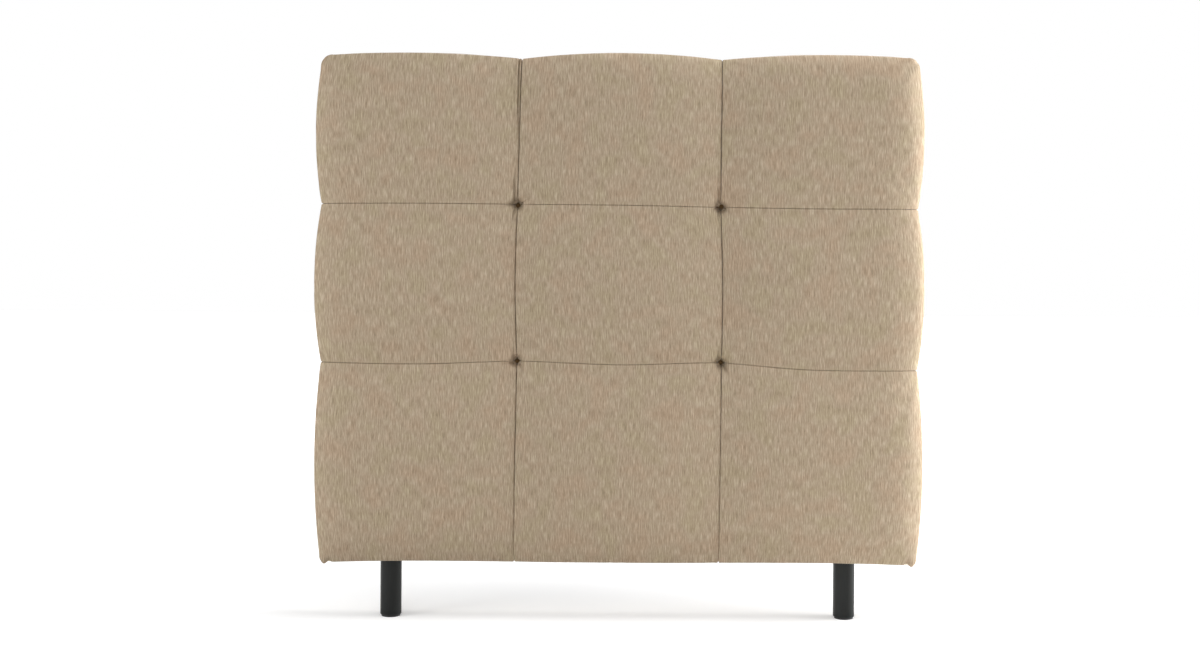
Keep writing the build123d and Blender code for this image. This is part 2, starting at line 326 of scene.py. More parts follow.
class HeadboardColours(bpy.types.PropertyGroup):
    fabric: colour("Fabric", "Middle colour of the melange cover", "A6957F")
    fabric_light: colour("Light fibres", "Colour of the light fibres", "C4B49E")
    fabric_dark: colour("Dark fibres", "Colour of the dark fibres", "85745E")
    thread: colour("Thread", "Colour of the sewing thread", "A08F74")
    foam: colour("Foam", "Colour of the polyurethane foam", "E6DCC0")
    lacquer: colour("Lacquer", "Colour of the legs", "171918")
    backing: colour("Backing", "Colour of the dust cover", "34353A")
    floor: colour("Floor", "Colour of the studio floor", "F2F2F2")


def add_node(tree, kind, settings=(), inputs=()):
    """A new node with its settings, its socket values and the links into it. A node given as a
    value links its first output, and the stops of a ramp are (place, linear colour)."""
    node = tree.nodes.new(kind)
    for name, value in dict(settings).items():
        if name != "stops":
            setattr(node, name, value)
            continue
        elements = node.color_ramp.elements
        while len(elements) < len(value):
            elements.new(0.5)
        for element, (place, tone) in zip(elements, value):
            element.position = place
            element.color = (*tone[:3], 1)
    for name, value in dict(inputs).items():
        if isinstance(value, bpy.types.Node):
            value = value.outputs[0]
        if isinstance(value, bpy.types.NodeSocket):
            tree.links.new(value, node.inputs[name])
        else:
            node.inputs[name].default_value = value
    return node


def start_material(name, on_cloth=False):
    """An empty material, its node tree, and the place that its patterns read."""
    made = bpy.data.materials.new(name)
    made.use_nodes = True
    tree = made.node_tree
    tree.nodes.clear()
    if on_cloth:
        return made, tree, add_node(tree, "ShaderNodeUVMap", {"uv_map": "cloth"})
    return made, tree, add_node(tree, "ShaderNodeTexCoord").outputs["Object"]


def end_material(made, inputs, height=None, strength=1.0, distance=0.0):
    """Adds a material's relief, shader and output."""
    tree = made.node_tree
    if height is not None:
        relief = {"Height": height, "Strength": strength, "Distance": distance}
        inputs["Normal"] = add_node(tree, "ShaderNodeBump", inputs=relief)
    shader = add_node(tree, "ShaderNodeBsdfPrincipled", inputs=inputs)
    add_node(tree, "ShaderNodeOutputMaterial", inputs={"Surface": shader})
    return made


FLAT_NOISE = {"noise_dimensions": "2D"}
TINT = {"data_type": "RGBA", "blend_type": "MULTIPLY"}


def melange_fabric(colours):
    """Woven melange polyester: light and dark fibres spun together, so the eye sees short streaks
    along the warp, a matt, slightly hairy face and faint clouds of another tint."""
    made, tree, cloth = start_material("woven_melange_polyester", on_cloth=True)
    # Real threads are about 1 mm apart, too fine for the picture: streaks are drawn 1.8 mm by 22 mm
    streaks_at = add_node(tree, "ShaderNodeMapping", (), {"Vector": cloth, "Scale": (560, 45, 1)})
    streaks = add_node(
        tree, "ShaderNodeTexNoise", FLAT_NOISE,
        {"Vector": streaks_at, "Scale": 1, "Detail": 2, "Roughness": 0.7},
    )
    stops = [(0.19, colours.fabric_dark), (0.5, colours.fabric), (0.81, colours.fabric_light)]
    fibres = add_node(tree, "ShaderNodeValToRGB", {"stops": stops}, {"Fac": streaks})
    # Single light flecks of 1.5 mm by 7 mm
    flecks_at = add_node(
        tree, "ShaderNodeMapping", (),
        {"Vector": cloth, "Scale": (700, 140, 1), "Location": (7, 3, 0)},
    )
    flecks = add_node(
        tree, "ShaderNodeTexNoise", FLAT_NOISE,
        {"Vector": flecks_at, "Scale": 1, "Detail": 1, "Roughness": 0.5},
    )
    fleck_share = add_node(
        tree, "ShaderNodeMapRange", (),
        {"Value": flecks, "From Min": 0.55, "From Max": 0.8, "To Max": 0.25},
    )
    flecked = add_node(
        tree, "ShaderNodeMix", {"data_type": "RGBA"},
        {0: fleck_share, 6: fibres, 7: (*colours.fabric_light, 1)},
    )
    # Clouds of 60 mm with a rosier or a greener tint, as the two yarns vary
    clouds = add_node(
        tree, "ShaderNodeTexNoise", FLAT_NOISE,
        {"Vector": cloth, "Scale": 16, "Detail": 2, "Roughness": 0.6},
    )
    stops = [(0.3, linear("FFFAF8")), (0.5, linear("FFFFFF")), (0.7, linear("FBFDF7"))]
    cloud_tint = add_node(tree, "ShaderNodeValToRGB", {"stops": stops}, {"Fac": clouds})
    tinted = add_node(tree, "ShaderNodeMix", TINT, {0: 1.0, 6: flecked.outputs[2], 7: cloud_tint})
    # The weave itself, with threads drawn 1.6 mm apart instead of 1 mm
    weave_at = add_node(tree, "ShaderNodeMapping", (), {"Vector": cloth, "Scale": (625, 400, 1)})
    weave = add_node(
        tree, "ShaderNodeTexNoise", FLAT_NOISE,
        {"Vector": weave_at, "Scale": 1, "Detail": 3, "Roughness": 0.65},
    )
    face = {
        "Base Color": tinted.outputs[2], "Roughness": 0.92, "Specular IOR Level": 0.2,
        "Sheen Weight": 0.4, "Sheen Roughness": 0.25, "Sheen Tint": (*linear("FBFAF8"), 1),
    }
    return end_material(made, face, weave, 0.3, 0.5 * MM)


def sewing_thread(colours):
    """Twisted polyester sewing thread: a soft sheen, with the twist as fine ribs."""
    made, tree, place = start_material("twisted_polyester_thread")
    # Ribs of 0.4 mm
    twist = add_node(tree, "ShaderNodeTexNoise", (), {"Vector": place, "Scale": 2500, "Detail": 1})
    face = {"Base Color": (*colours.thread, 1), "Roughness": 0.6, "Sheen Weight": 0.2}
    return end_material(made, face, twist, 0.4, 0.1 * MM)


def foam_material(colours):
    """Cut polyurethane foam: pale, matt, with open cells of about 1.5 mm, each painted darker at the
    bottom of its pit as painted shade in the pores.
    """
    made, tree, place = start_material("cut_polyurethane_foam")
    cells = add_node(tree, "ShaderNodeTexVoronoi", (), {"Vector": place, "Scale": 660})
    # Painted shade: the foam is darkest at the bottom of each cell's pit, where the bump sinks in
    stops = [(0.0, shade(colours.foam, 0.8)), (0.6, colours.foam)]
    tone = add_node(tree, "ShaderNodeValToRGB", {"stops": stops}, {"Fac": cells})
    return end_material(made, {"Base Color": tone, "Roughness": 0.95}, cells, 0.6, 0.5 * MM)


def black_lacquer(colours):
    """Beech, turned, stained black and sprayed with satin lacquer: a soft highlight, and the
    pores of the grain just telegraphing through."""
    made, tree, place = start_material("satin_black_lacquered_beech")
    # Beech rays and pores are about 0.8 mm apart and run 20 mm up the leg
    grain_at = add_node(tree, "ShaderNodeMapping", (), {"Vector": place, "Scale": (1200, 1200, 50)})
    grain = add_node(
        tree, "ShaderNodeTexNoise", (),
        {"Vector": grain_at, "Scale": 1, "Detail": 3, "Roughness": 0.6},
    )
    stops = [(0.35, colours.lacquer), (0.75, shade(colours.lacquer, 1.5))]
    tone = add_node(tree, "ShaderNodeValToRGB", {"stops": stops}, {"Fac": grain})
    # Rubbed a little glossier in patches of 15 mm, as satin lacquer is after handling
    rub = add_node(tree, "ShaderNodeTexNoise", (), {"Vector": place, "Scale": 65, "Detail": 2})
    gloss = add_node(tree, "ShaderNodeMapRange", (), {"Value": rub, "To Min": 0.33, "To Max": 0.47})
    face = {"Base Color": tone, "Roughness": gloss, "Specular IOR Level": 0.22}
    return end_material(made, face, grain, 0.25, 0.06 * MM)


def moulded_plastic(name, code):
    """Injection-moulded polyethylene: matt, slightly waxy, with a fine moulded texture."""
    made, tree, place = start_material(name)
    # A moulded grain of 0.7 mm
    texture = add_node(tree, "ShaderNodeTexNoise", (), {"Vector": place, "Scale": 1500, "Detail": 2})
    stops = [(0.3, shade(linear(code), 0.88)), (0.7, linear(code))]
    tone = add_node(tree, "ShaderNodeValToRGB", {"stops": stops}, {"Fac": texture})
    return end_material(made, {"Base Color": tone, "Roughness": 0.55}, texture, 0.3, 0.05 * MM)


def planed_pine(name, grain_scale):
    """Planed pine: pale sapwood with honey-coloured late rings that run along the piece."""
    made, tree, place = start_material(name)
    # Rings 5 mm apart across the piece, drawn out many times along it
    rings_at = add_node(tree, "ShaderNodeMapping", (), {"Vector": place, "Scale": grain_scale})
    rings = add_node(
        tree, "ShaderNodeTexNoise", (),
        {"Vector": rings_at, "Scale": 1, "Detail": 4, "Distortion": 0.6},
    )
    stops = [(0.3, linear("E3C596")), (0.52, linear("DDB983")), (0.62, linear("C39459"))]
    tone = add_node(tree, "ShaderNodeValToRGB", {"stops": stops}, {"Fac": rings})
    return end_material(made, {"Base Color": tone, "Roughness": 0.62}, rings, 0.2, 0.2 * MM)


def poplar_plywood():
    """Sanded poplar plywood: a pale, quiet face, and plies 1.3 mm thick at the edges."""
    made, tree, place = start_material("sanded_poplar_plywood")
    # Figure of 11 mm that runs on for 125 mm
    figure_at = add_node(tree, "ShaderNodeMapping", (), {"Vector": place, "Scale": (90, 90, 8)})
    figure = add_node(
        tree, "ShaderNodeTexNoise", (),
        {"Vector": figure_at, "Scale": 1, "Detail": 4, "Distortion": 0.4},
    )
    stops = [(0.3, linear("E2CFAA")), (0.7, linear("CDB48A"))]
    face = add_node(tree, "ShaderNodeValToRGB", {"stops": stops}, {"Fac": figure})
    ply = 1.33 * MM
    depth = add_node(tree, "ShaderNodeSeparateXYZ", (), {"Vector": place}).outputs["Y"]
    plies = add_node(tree, "ShaderNodeMath", {"operation": "PINGPONG"}, {0: depth, 1: ply})
    ply_tone = add_node(
        tree, "ShaderNodeMapRange", (),
        {"Value": plies, "From Max": ply, "To Min": 0.7, "To Max": 1.0},
    )
    edges = add_node(tree, "ShaderNodeMix", TINT, {0: 1.0, 6: face, 7: ply_tone})
    turned_to = add_node(tree, "ShaderNodeTexCoord").outputs["Normal"]
    normal = add_node(tree, "ShaderNodeSeparateXYZ", (), {"Vector": turned_to}).outputs["Y"]
    at_face = add_node(tree, "ShaderNodeMath", {"operation": "ABSOLUTE"}, {0: normal})
    tone = add_node(
        tree, "ShaderNodeMix", {"data_type": "RGBA"}, {0: at_face, 6: edges.outputs[2], 7: face}
    )
    board = {"Base Color": tone.outputs[2], "Roughness": 0.65}
    return end_material(made, board, figure, 0.15, 0.2 * MM)


def spunbond(colours):
    """Spunbond polypropylene: a thin felted sheet, bonded in a lattice of tiny pressed points."""
    made, tree, cloth = start_material("spunbond_polypropylene", on_cloth=True)
    # Bonding points are about 1.5 mm apart, drawn 3 mm apart so that they show
    points = add_node(
        tree, "ShaderNodeTexVoronoi", {"voronoi_dimensions": "2D"},
        {"Vector": cloth, "Scale": 333, "Randomness": 0.15},
    )
    fibres = add_node(
        tree, "ShaderNodeTexNoise", FLAT_NOISE,
        {"Vector": cloth, "Scale": 700, "Detail": 4, "Roughness": 0.75},
    )
    stops = [(0.3, shade(colours.backing, 0.7)), (0.7, shade(colours.backing, 1.5))]
    tone = add_node(tree, "ShaderNodeValToRGB", {"stops": stops}, {"Fac": fibres})
    height = add_node(tree, "ShaderNodeMath", {"operation": "ADD"}, {0: points, 1: fibres})
    face = {"Base Color": tone, "Roughness": 0.8, "Sheen Weight": 0.15}
    return end_material(made, face, height, 0.5, 0.25 * MM)


def zinc_steel():
    """Zinc-plated steel: cool grey with a faint crystalline mottle."""
    made, tree, place = start_material("zinc_plated_steel")
    # Crystals of 1.1 mm
    spangle = add_node(tree, "ShaderNodeTexVoronoi", (), {"Vector": place, "Scale": 900})
    stops = [(0.0, linear("B9BDC0")), (0.8, linear("D2D4D2"))]
    tone = add_node(tree, "ShaderNodeValToRGB", {"stops": stops}, {"Fac": spangle})
    gloss = add_node(
        tree, "ShaderNodeMapRange", (), {"Value": spangle, "To Min": 0.28, "To Max": 0.42}
    )
    return end_material(made, {"Base Color": tone, "Metallic": 1.0, "Roughness": gloss})


def waxed_twine():
    """Waxed tufting twine, twisted from plies about 1.5 mm thick. Its dark brown is partly the twine
    and partly painted shade: it stands in for the shade deep in the tuft pits, and the grooves between
    the plies are painted darker as painted shade too.
    """
    made, tree, place = start_material("waxed_tufting_twine")
    plies = add_node(
        tree, "ShaderNodeTexWave", {"bands_direction": "DIAGONAL"},
        {"Vector": place, "Scale": 210, "Distortion": 1.0, "Detail": 1},
    ).outputs["Fac"]
    # Painted shade: the dark brown stands in for the shade in the tuft pits, and is darkest in the low
    # grooves between the plies
    stops = [(0.0, linear("3A2A16")), (0.8, linear("634D30"))]
    tone = add_node(tree, "ShaderNodeValToRGB", {"stops": stops}, {"Fac": plies})
    face = {"Base Color": tone, "Roughness": 0.7, "Specular IOR Level": 0.1}
    return end_material(made, face, plies, 0.6, 0.4 * MM)


def dress_nodes(names, made):
    """Gives CAD nodes that stay a better finish."""
    for name in names:
        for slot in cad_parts[name].material_slots:
            slot.link = "OBJECT"
            slot.material = made


def place_piece(name, mesh, made, nodes=()):
    """Turns a bmesh into a piece of the headboard, made of one material."""
    data = bpy.data.meshes.new(name)
    mesh.to_mesh(data)
    mesh.free()
    data.materials.append(made)
    piece = bpy.data.objects.new(name, data)
    bpy.context.scene.collection.objects.link(piece)
    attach(piece, "root")
    if nodes:
        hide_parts(*nodes)
    return piece


def near(a, b):
    """Whether two places, or two arrays of them, are on the same line."""
    return abs(a - b) < TOUCH


def closeness(distance, reach):
    """1 at an edge, falling to 0 at the reach."""
    return np.clip(1 - distance / reach, 0, 1)


def bell(distance, width):
    """1 at the middle, falling off evenly round it."""
    return np.exp(-((distance / width) ** 2))


def quarter(distance, width):
    """How far down a quarter round is, as a share of its depth: 1 at the edge, 0 at its width."""
    return 1 - np.sqrt(1 - closeness(distance, width) ** 2)


def smooth_line(points, at):
    """A smooth curve through (place, value) points, read at an array of places."""
    places = np.array([p[0] for p in points], float) * MM
    values = np.array([p[1] for p in points], float) * MM
    slopes = np.gradient(values, places)
    at = np.clip(at, places[0], places[-1])
    left = np.clip(np.searchsorted(places, at, side="right") - 1, 0, len(places) - 2)
    span = places[left + 1] - places[left]
    t = (at - places[left]) / span
    return (
        values[left] * (2 * t**3 - 3 * t**2 + 1)
        + slopes[left] * span * (t**3 - 2 * t**2 + t)
        + values[left + 1] * (3 * t**2 - 2 * t**3)
        + slopes[left + 1] * span * (t**3 - t**2)
    )


def between_seams(first, second, part):
    """An offset that grows to the first seam's, turns into the second's and fades again."""
    return np.where(
        part < 1, first * part,
        np.where(part < 2, first + (second - first) * (part - 1), second * (3 - part)),
    )


def wander(x, z):
    """How far the sewn grid has wandered from the straight one, across and upwards."""
    across = np.interp(x, [-half_width, -seam_x, seam_x, half_width], [0, 1, 2, 3])
    upwards = np.interp(z, [bottom_z, lower_seam_z, upper_seam_z, top_z], [0, 1, 2, 3])
    offset_x = between_seams(
        smooth_line(LEFT_SEAM_WANDER, z), smooth_line(RIGHT_SEAM_WANDER, z), across
    )
    offset_z = between_seams(
        smooth_line(LOWER_SEAM_WANDER, x), smooth_line(UPPER_SEAM_WANDER, x), upwards
    )
    return offset_x, offset_z


def crease_depth(x, z, wider=0.0):
    """How much deeper the creases make the cover at each point, drawn wider by some mm if asked."""
    total = np.zeros_like(x)
    for points, start_depth, end_depth, crease_width, lip in CREASES:
        lengths = [math.dist(a, b) for a, b in zip(points, points[1:])]
        nearest = np.full_like(x, 1.0)
        depth = np.zeros_like(x)
        side = np.zeros_like(x)
        run = 0.0
        for (ax, az), (bx, bz), span in zip(points, points[1:], lengths):
            along_x, along_z = (bx - ax) / span, (bz - az) / span
            from_x, from_z = x - ax * MM, z - az * MM
            t = np.clip((from_x * along_x + from_z * along_z) / (span * MM), 0, 1)
            off_x = from_x - along_x * t * span * MM
            off_z = from_z - along_z * t * span * MM
            far = np.hypot(off_x, off_z)
            nearer = far < nearest
            nearest = np.where(nearer, far, nearest)
            share = (run + t * span) / sum(lengths)
            depth = np.where(nearer, start_depth + (end_depth - start_depth) * share, depth)
            side = np.where(nearer, np.sign(off_x * along_z - off_z * along_x), side)
            run += span
        scaled = nearest / ((crease_width + wider) * MM)
        total += depth * MM * bell(scaled, 1)
        if lip:
            total -= LIP_SHARE * depth * MM * bell(scaled - LIP_PLACE, 1) * (side * lip > 0)
    return total


class Square:
    """One sewn square of the cover: its edges on the flat pattern and which of them are free."""

    def __init__(self, column, row):
        self.column, self.row = column, row
        self.name = f"{ROWS[row]}_{COLUMNS[column]}"
        self.x = (-half_width, -seam_x, seam_x, half_width)[column:column + 2]
        self.z = (bottom_z, lower_seam_z, upper_seam_z, top_z)[row:row + 2]
        self.free_x = (column == 0, column == 2)
        self.free_z = (row == 0, row == 2)

    def corners(self):
        """Each corner with its way inwards and how round it is."""
        for i, inward_x in ((0, 1), (1, -1)):
            for j, inward_z in ((0, 1), (1, -1)):
                body_corner = TOP_CORNER if j else BOTTOM_CORNER
                radii = (TUFT_CORNER, SEAM_END_CORNER, body_corner)
                yield self.x[i], self.z[j], inward_x, inward_z, radii[self.free_x[i] + self.free_z[j]]

    def free_distances(self, flat_x, flat_z):
        """The distances to the two upright and the two level edges, each pair with what is free."""
        return (
            ((flat_x - self.x[0], self.x[1] - flat_x), self.free_x),
            ((flat_z - self.z[0], self.z[1] - flat_z), self.free_z),
        )


def edge_insets(free, roll_width):
    """How far in from an edge the grid lines lie."""
    if free:
        turns = [math.pi / 2 * (1 - step / ROLL_STEPS) for step in range(ROLL_STEPS + 1)]
        return [roll_width * (1 - math.sin(turn)) for turn in turns]
    insets, step = [0.0], FIRST_STEP
    while step < WIDEST_STEP:
        insets.append(insets[-1] + step)
        step *= STEP_GROWTH
    return insets


def grid_levels(low, high, free, roll_width, coarseness=1):
    """The grid lines between two edges."""
    start = [low + inset for inset in edge_insets(free[0], roll_width)]
    end = [high - inset for inset in edge_insets(free[1], roll_width)][::-1]
    count = math.ceil((end[0] - start[-1]) / (WIDEST_STEP * coarseness))
    gap = (end[0] - start[-1]) / count
    return start + [start[-1] + gap * step for step in range(1, count)] + end


def flat_grid(across, upwards):
    """A grid of faces that look to the front, with its lines at the given places."""
    mesh = bmesh.new()
    bmesh.ops.create_grid(
        mesh, x_segments=len(across) - 1, y_segments=len(upwards) - 1, size=0.5
    )
    for vert in mesh.verts:
        i = round((vert.co.x + 0.5) * (len(across) - 1))
        j = round((vert.co.y + 0.5) * (len(upwards) - 1))
        vert.co = (across[i], 0, upwards[j])
    return mesh


def round_corners(square, flat_x, flat_z):
    """Where the points of a square lie once its corners are rounded."""
    x, z = flat_x.copy(), flat_z.copy()
    for corner_x, corner_z, inward_x, inward_z, radius in square.corners():
        a = 1 - (x - corner_x) * inward_x / radius
        b = 1 - (z - corner_z) * inward_z / radius
        inside = (a > 0) & (b > 0)
        round_a = a * np.sqrt(np.clip(1 - b**2 / 2, 0, 1))
        round_b = b * np.sqrt(np.clip(1 - a**2 / 2, 0, 1))
        x = np.where(inside, corner_x + inward_x * radius * (1 - round_a), x)
        z = np.where(inside, corner_z + inward_z * radius * (1 - round_b), z)
    return x, z


def front_depth(square, sizes, flat_x, flat_z, x, z):
    """How far behind the highest point of a crown each point of a square's front lies."""
    sides = square.free_distances(flat_x, flat_z)
    roll = np.ones_like(x)
    low = []
    for distances, free in sides:
        rise = np.ones_like(x)
        for distance, is_free in zip(distances, free):
            if is_free:
                roll *= 1 - quarter(distance, sizes.roll_width)
            else:
                reach = min(sizes.crown_reach, (distances[0] + distances[1]).max() / (2 - sum(free)))
                rise *= 1 - closeness(distance, reach) ** 2
        low.append(1 - rise)
    depth = sizes.roll_depth * (1 - roll)
    # The crown rises from the seams, and two seams draw the corner between them in further
    depth += sizes.crown * (low[0] + low[1] - CROWN_OVERLAP_SHARE * low[0] * low[1])

    # The fabric turns in at the seams, less at the tufts and where the upright seams run out below
    calm = np.ones_like(x)
    share, width = TUFT_CALM
    for tuft_x, tuft_z in tuft_centres:
        calm -= share * bell(np.hypot(x - tuft_x, z - tuft_z), width)
    share, height, way_down = LOW_CALM
    calm *= 1 - share * np.clip((height - z) / way_down, 0, 1)
    share, height, way_down = LOW_RIGHT_CALM
    calm *= 1 - share * (x > 0) * np.clip((height - z) / way_down, 0, 1)
    turn = np.ones_like(x)
    (from_x, free_x), (from_z, free_z) = sides
    for distance, is_free, (width, share, lower, spread) in zip(
        (*from_x, *from_z), (*free_x, *free_z), SEAM_TURNS
    ):
        if not is_free:
            turn *= 1 - share * quarter(distance, width * (0.4 + 0.6 * calm))
            depth += lower * np.exp(-distance / spread)
    depth += sizes.groove * calm * (1 - turn)

    # The foam lies in a narrow valley along the upright seams
    for edge_x, distance, is_free in zip(square.x, from_x, free_x):
        if not is_free:
            right = LOW_RIGHT_VALLEY if square.row == 0 else RIGHT_VALLEY
            depth += (LEFT_VALLEY if edge_x < 0 else right) * np.exp(-distance / VALLEY_SPREAD)

    for tuft_x, tuft_z in tuft_centres:
        far = np.hypot(x - tuft_x, z - tuft_z)
        depth += sizes.tuft_dip * np.exp(-((far / DIP_RADIUS) ** DIP_POWER))
        pull = 1.0 if tuft_z == upper_seam_z else LOWER_PULL_SHARE
        depth += pull * sizes.tuft_pit * np.exp(-((far / PIT_RADIUS) ** PIT_POWER))
    return np.minimum(depth, DEEPEST)


def swell_sides(square, sizes, flat_x, flat_z, x, z):
    """Swells the free sides out between the seams, grooves them at the seams' ends, and lets the
    lower corners hang a little."""
    (from_x, _), (from_z, _) = square.free_distances(flat_x, flat_z)
    share_x = (z - square.z[0]) / (square.z[1] - square.z[0])
    share_z = (x - square.x[0]) / (square.x[1] - square.x[0])
    # Towards a corner of the body the top stays half as high as its bulge
    if square.free_x[0]:
        share_z = CORNER_RISE_SHARE + (1 - CORNER_RISE_SHARE) * share_z
    if square.free_x[1]:
        share_z = (1 - CORNER_RISE_SHARE) * share_z
    for index, outward in ((0, -1), (1, 1)):
        if square.free_x[index]:
            bulge = sizes.side_bulge * 4 * share_x * (1 - share_x)
            x = x + outward * bulge * closeness(from_x[index], BULGE_REACH) ** 2
    if square.free_z[1]:
        bulge = sizes.top_bulge * 4 * share_z * (1 - share_z)
        z = z + bulge * closeness(from_z[1], BULGE_REACH) ** 2

    for index, outward in ((0, -1), (1, 1)):
        groove = outward * SIDE_GROOVE
        if square.free_x[index]:
            near_edge = closeness(from_x[index], sizes.roll_width) ** 2
            for distance, is_free in zip(from_z, square.free_z):
                if not is_free:
                    x = x - groove * quarter(distance, SIDE_GROOVE_WIDTH) * near_edge
        if square.free_z[index]:
            near_edge = closeness(from_z[index], sizes.roll_width) ** 2
            for distance, is_free in zip(from_x, square.free_x):
                if not is_free:
                    z = z - groove * quarter(distance, SIDE_GROOVE_WIDTH) * near_edge
    for index in (0, 1):
        if square.free_z[0] and square.free_x[index]:
            hang = closeness(from_x[index], HANG_REACH) ** 2
            z = z - HANG * hang * closeness(from_z[0], BULGE_REACH) ** 2
    return x, z


def hem_line(edges, free, distances, flat, tuck):
    """One coordinate of the hem, which lies flat on the back and is mitred at the corners."""
    place = flat.copy()
    for edge, is_free, distance, inward in zip(edges, free, distances, (1, -1)):
        if is_free:
            mitred = tuck + distance * (MITRE - tuck) / MITRE
            place = edge + inward * np.where(distance < MITRE, mitred, distance)
    return place


def cover_form(square, sizes, flat_x, flat_z, run, tuck):
    """Where each point of a square's flat pattern lies on the upholstered body.
    run goes from 0 at the front to 1 at the back of a free side, tuck is how far it is turned in."""
    x, z = round_corners(square, flat_x, flat_z)
    depth = front_depth(square, sizes, flat_x, flat_z, x, z)
    x, z = swell_sides(square, sizes, flat_x, flat_z, x, z)
    offset_x, offset_z = wander(x, z)
    stays = 1 - tuck / sizes.hem
    x, z = x + offset_x * stays, z + offset_z * stays

    front = cad_low.y - sizes.proud + depth
    rear = hem_y - REAR_RADIUS
    y = front + (rear - front) * run
    short = np.clip(REAR_RADIUS - tuck, 0, None)
    y = np.where(run >= 1, rear + np.sqrt(np.clip(REAR_RADIUS**2 - short**2, 0, None)), y)

    (from_x, _), (from_z, _) = square.free_distances(flat_x, flat_z)
    hem_x = hem_line(square.x, square.free_x, from_x, flat_x, tuck)
    hem_z = hem_line(square.z, square.free_z, from_z, flat_z, tuck)
    blend = np.clip(tuck / HEM_SETTLE, 0, 1) * (tuck > 0)
    for index, inward in ((0, 1), (1, -1)):
        if square.free_x[index]:
            x = x + np.where(near(from_x[index], 0), inward * tuck, 0) * (1 - blend)
        if square.free_z[index]:
            z = z + np.where(near(from_z[index], 0), inward * tuck, 0) * (1 - blend)
    x = x * (1 - blend) + (hem_x + offset_x * stays) * blend
    z = z * (1 - blend) + (hem_z + offset_z * stays) * blend
    return x, y, z


def extrude_row(mesh, edges):
    """Runs a sheet on from some of its edges: the new points and the new edges between them."""
    made = bmesh.ops.extrude_edge_only(mesh, edges=edges)["geom"]
    verts = {item for item in made if isinstance(item, bmesh.types.BMVert)}
    new_edges = [item for item in made if isinstance(item, bmesh.types.BMEdge)]
    return verts, [edge for edge in new_edges if verts.issuperset(edge.verts)]


def face_front(mesh):
    """Turns all faces of a sheet to the side that its frontmost face shows to the front."""
    bmesh.ops.recalc_face_normals(mesh, faces=mesh.faces)
    mesh.normal_update()
    front_face = max(mesh.faces, key=lambda face: -face.calc_center_median().y)
    if front_face.normal.y > 0:
        bmesh.ops.reverse_faces(mesh, faces=mesh.faces)


def settle_order(mesh):
    """Puts the edges and faces in the order of their points. Extruding leaves that order to chance,
    and the cloth simulation follows it, so the cover would come out a little different each time."""
    mesh.verts.index_update()
    for parts in (mesh.edges, mesh.faces):
        ordered = sorted(parts, key=lambda part: sorted(vert.index for vert in part.verts))
        places = {part: place for place, part in enumerate(ordered)}
        parts.sort(key=places.get)


def panel_sheet(square, sizes):
    """A square's pattern as one sheet: its front, its free sides and its hem."""
    across = grid_levels(*square.x, square.free_x, sizes.roll_width)
    upwards = grid_levels(*square.z, square.free_z, sizes.roll_width)
    mesh = flat_grid(across, upwards)
    run_layer = mesh.verts.layers.float.new("run")
    tuck_layer = mesh.verts.layers.float.new("tuck")

    def at_free_side(edge):
        a, b = edge.verts[0].co, edge.verts[1].co
        for index in (0, 1):
            if square.free_x[index] and near(a.x, square.x[index]) and near(b.x, square.x[index]):
                return True
            if square.free_z[index] and near(a.z, square.z[index]) and near(b.z, square.z[index]):
                return True
        return False

    edges = [edge for edge in mesh.edges if edge.is_boundary and at_free_side(edge)]
    if not edges:
        return mesh
    rows = [(step / WALL_STEPS, 0.0) for step in range(1, WALL_STEPS + 1)]
    for step in range(1, REAR_STEPS + 1):
        rows.append((1.0, REAR_RADIUS * (1 - math.cos(math.pi / 2 * step / REAR_STEPS))))
    for step in range(1, HEM_STEPS + 1):
        rows.append((1.0, REAR_RADIUS + (sizes.hem - REAR_RADIUS) * step / HEM_STEPS))
    for run, tuck in rows:
        verts, edges = extrude_row(mesh, edges)
        for vert in verts:
            vert[run_layer] = run
            vert[tuck_layer] = tuck
    return mesh


def lay_pattern(mesh, square):
    """Gives every face its place on the cloth, in metres, so that the weave follows the panel."""
    cloth = mesh.loops.layers.uv.new("cloth")
    run_layer = mesh.verts.layers.float["run"]
    tuck_layer = mesh.verts.layers.float["tuck"]
    wall = hem_y - cad_low.y
    for face in mesh.faces:
        out_x = out_z = 0
        if any(vert[run_layer] > 0 for vert in face.verts):
            for index, outward in ((0, -1), (1, 1)):
                if square.free_x[index] and all(near(v.co.x, square.x[index]) for v in face.verts):
                    out_x = outward
                if square.free_z[index] and all(near(v.co.z, square.z[index]) for v in face.verts):
                    out_z = outward
        for loop in face.loops:
            vert = loop.vert
            path = vert[run_layer] * wall + vert[tuck_layer]
            loop[cloth].uv = (vert.co.x + out_x * path, vert.co.z + out_z * path)


def swell(piece, held):
    """Lets air pressure fill a cover out like cloth over foam. held is how firmly each point is
    sewn down, from 0 to 1, and no point may move further than the cap."""
    data = piece.data
    before = np.zeros(len(data.vertices) * 3)
    data.vertices.foreach_get("co", before)
    group = piece.vertex_groups.new(name="sewn")
    for index, share in enumerate(held):
        group.add([index], float(share), "REPLACE")
    cloth = piece.modifiers.new("swell", "CLOTH")
    cloth.settings.vertex_group_mass = "sewn"
    cloth.settings.use_pressure = True
    cloth.settings.uniform_pressure_force = SWELL_PRESSURE
    cloth.settings.quality = SWELL_QUALITY
    cloth.settings.effector_weights.gravity = 0
    cloth.point_cache.frame_start = 1
    cloth.point_cache.frame_end = SWELL_FRAMES
    scene = bpy.context.scene
    for step in range(1, SWELL_FRAMES + 1):
        scene.frame_set(step)
    filled = piece.evaluated_get(bpy.context.evaluated_depsgraph_get())
    after = np.zeros_like(before)
    filled.data.vertices.foreach_get("co", after)
    piece.modifiers.remove(cloth)
    piece.vertex_groups.remove(group)
    scene.frame_set(1)
    moved = (after - before).reshape(-1, 3)
    far = np.linalg.norm(moved, axis=1, keepdims=True)
    moved *= SWELL_CAP / (far + SWELL_CAP)
    data.vertices.foreach_set("co", before + moved.ravel())
    data.update()


